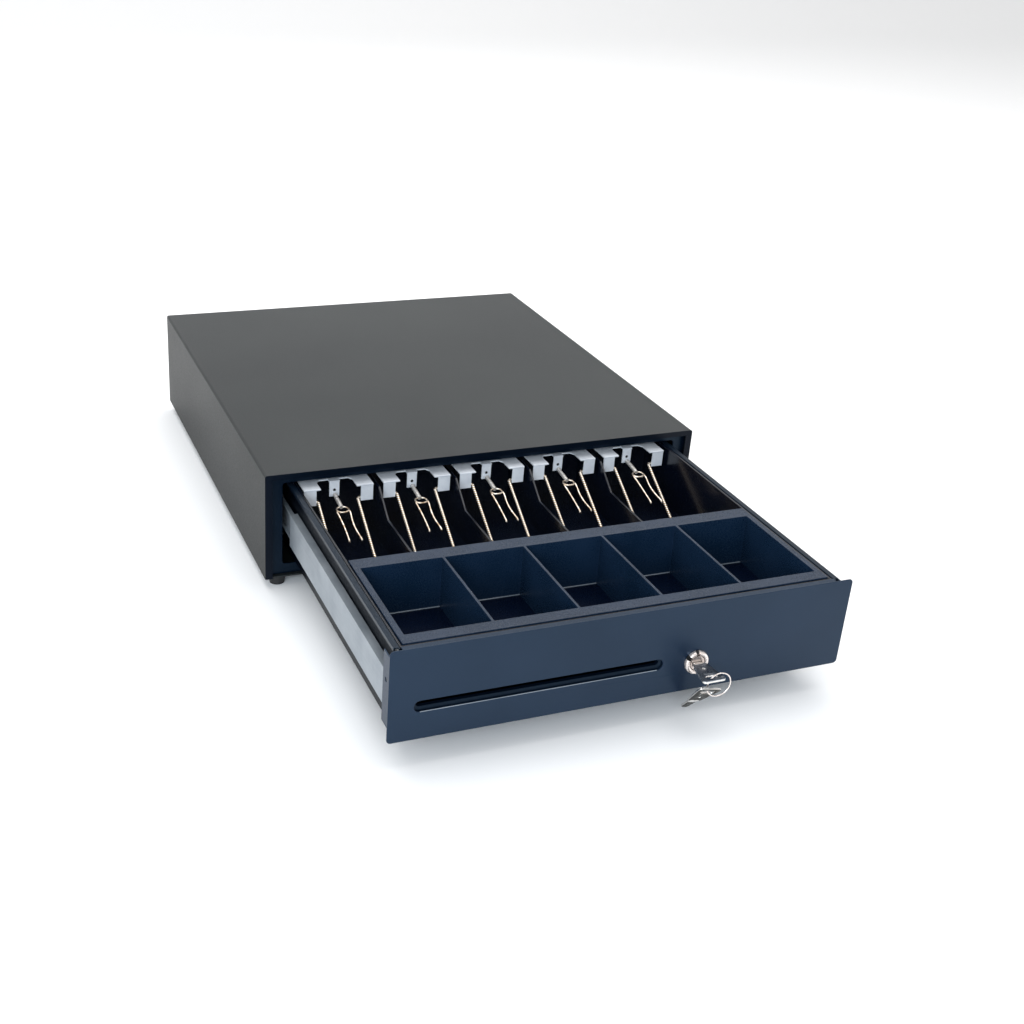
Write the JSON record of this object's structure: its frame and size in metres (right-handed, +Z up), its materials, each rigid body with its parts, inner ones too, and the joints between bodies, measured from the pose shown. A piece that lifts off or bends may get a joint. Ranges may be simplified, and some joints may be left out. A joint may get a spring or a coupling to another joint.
{
  "type": "cash drawer",
  "caption": "Black steel till drawer in a flat desktop cabinet, run out on ball runners, with note bays, wire note clips, coin cells, a cash slot and a lock with its keys.",
  "frame": {"origin": "middle of the cabinet's underside, on the base pan", "axes": "+Z up, -Y the way the drawer opens, +X to the right seen from the front"},
  "size_m": [0.41, 0.729, 0.1075],
  "materials": {
    "cover_paint": "fine textured satin black",
    "drawer_paint": "satin black",
    "rubber": "moulded matt",
    "zinc": "bright zinc plated",
    "steel": "plain",
    "chrome": "polished",
    "till_plastic": "smooth gloss black",
    "matt_plastic": "moulded",
    "coil_tape": "wound tape"
  },
  "bodies": {
    "cabinet": {"housing_cover": "cover_paint", "base_pan": "cover_paint", "front_frame": "cover_paint", "rear_panel": "cover_paint", "foot_front_left": "rubber", "foot_front_right": "rubber", "foot_rear_left": "rubber", "foot_rear_right": "rubber", "rear_screw_1": "steel", "rear_screw_2": "steel", "rear_screw_3": "steel", "rear_screw_4": "steel", "cabinet_rail_left": "zinc", "cabinet_rail_right": "zinc", "mechanism_plate": "zinc", "latch_pin": "steel", "solenoid_frame": "zinc", "solenoid_coil": "coil_tape", "kick_spring": "steel", "spring_guide": "zinc", "microswitch": "matt_plastic", "drive_socket": "matt_plastic"},
    "drawer": {"drawer_box": "drawer_paint", "drawer_front": "drawer_paint", "side_screw_left": "drawer_paint", "side_screw_right": "drawer_paint", "till_tray": "till_plastic", "coin_tray": "till_plastic", "note_clip_1": "zinc", "note_clip_2": "zinc", "note_clip_3": "zinc", "note_clip_4": "zinc", "note_clip_5": "zinc", "drawer_rail_left": "zinc", "drawer_rail_right": "zinc", "lock_housing": "chrome", "lock_nut": "steel", "latch_striker": "zinc"},
    "middle_runner_left": {"middle_rail_left": "zinc"},
    "middle_runner_right": {"middle_rail_right": "zinc"},
    "lock_core": {"lock_plug": "chrome", "lock_cam": "steel"},
    "key": {"key": "chrome"},
    "key_ring": {"key_ring": "chrome"},
    "spare_key": {"spare_key": "chrome"},
    "latch": {"latch_lever": "zinc"},
    "plunger": {"solenoid_plunger": "steel"},
    "bail_1": {"bail_1": "zinc"},
    "fork_1": {"fork_1": "zinc"},
    "bail_2": {"bail_2": "zinc"},
    "fork_2": {"fork_2": "zinc"},
    "bail_3": {"bail_3": "zinc"},
    "fork_3": {"fork_3": "zinc"},
    "bail_4": {"bail_4": "zinc"},
    "fork_4": {"fork_4": "zinc"},
    "bail_5": {"bail_5": "zinc"},
    "fork_5": {"fork_5": "zinc"}
  },
  "joints": [
    {"name": "drawer_slide", "type": "slide", "parent": "cabinet", "child": "drawer", "axis": [0, 1, 0], "range_m": [0, 0.275]},
    {"name": "middle_slide_left", "type": "slide", "parent": "cabinet", "child": "middle_runner_left", "axis": [0, 1, 0], "range_m": [0, 0.1375]},
    {"name": "middle_slide_right", "type": "slide", "parent": "cabinet", "child": "middle_runner_right", "axis": [0, 1, 0], "range_m": [0, 0.1375]},
    {"name": "lock_turn", "type": "hinge", "parent": "drawer", "child": "lock_core", "pos_m": [0.0566, -0.4875, 0.0396], "axis": [0, 1, 0], "range_deg": [0, 90]},
    {"name": "key_pull", "type": "slide", "parent": "lock_core", "child": "key", "axis": [0, -1, 0], "range_m": [0, 0.03]},
    {"name": "ring_swing", "type": "hinge", "parent": "key", "child": "key_ring", "pos_m": [0.0638, -0.5109, 0.0396], "axis": [0, 1, 0], "range_deg": [-8, 6]},
    {"name": "spare_key_swing", "type": "hinge", "parent": "key_ring", "child": "spare_key", "pos_m": [0.064, -0.5109, 0.032], "axis": [0, 1, 0], "range_deg": [-12, 5]},
    {"name": "latch_turn", "type": "hinge", "parent": "cabinet", "child": "latch", "pos_m": [0, 0.1595, 0.013], "axis": [-1, 0, 0], "range_deg": [0, 6]},
    {"name": "plunger_slide", "type": "slide", "parent": "cabinet", "child": "plunger", "axis": [0, 0, -1], "range_m": [0, 0.0015]},
    {"name": "bail_lift_1", "type": "hinge", "parent": "drawer", "child": "bail_1", "pos_m": [-0.142, -0.2155, 0.0712], "axis": [-1, 0, 0], "range_deg": [0, 30]},
    {"name": "fork_lift_1", "type": "hinge", "parent": "drawer", "child": "fork_1", "pos_m": [-0.142, -0.2071, 0.0718], "axis": [-1, 0, 0], "range_deg": [0, 20]},
    {"name": "bail_lift_2", "type": "hinge", "parent": "drawer", "child": "bail_2", "pos_m": [-0.071, -0.2155, 0.0712], "axis": [-1, 0, 0], "range_deg": [0, 30]},
    {"name": "fork_lift_2", "type": "hinge", "parent": "drawer", "child": "fork_2", "pos_m": [-0.071, -0.2071, 0.0718], "axis": [-1, 0, 0], "range_deg": [0, 20]},
    {"name": "bail_lift_3", "type": "hinge", "parent": "drawer", "child": "bail_3", "pos_m": [0, -0.2155, 0.0712], "axis": [-1, 0, 0], "range_deg": [0, 30]},
    {"name": "fork_lift_3", "type": "hinge", "parent": "drawer", "child": "fork_3", "pos_m": [0, -0.2071, 0.0718], "axis": [-1, 0, 0], "range_deg": [0, 20]},
    {"name": "bail_lift_4", "type": "hinge", "parent": "drawer", "child": "bail_4", "pos_m": [0.071, -0.2155, 0.0712], "axis": [-1, 0, 0], "range_deg": [0, 30]},
    {"name": "fork_lift_4", "type": "hinge", "parent": "drawer", "child": "fork_4", "pos_m": [0.071, -0.2071, 0.0718], "axis": [-1, 0, 0], "range_deg": [0, 20]},
    {"name": "bail_lift_5", "type": "hinge", "parent": "drawer", "child": "bail_5", "pos_m": [0.142, -0.2155, 0.0712], "axis": [-1, 0, 0], "range_deg": [0, 30]},
    {"name": "fork_lift_5", "type": "hinge", "parent": "drawer", "child": "fork_5", "pos_m": [0.142, -0.2071, 0.0718], "axis": [-1, 0, 0], "range_deg": [0, 20]}
  ],
  "couplings": [
    {"joint": "middle_slide_left", "follows": "drawer_slide", "ratio": 0.5},
    {"joint": "middle_slide_right", "follows": "drawer_slide", "ratio": 0.5},
    {"joint": "plunger_slide", "follows": "latch_turn", "m_per_rad": 0.014}
  ]
}
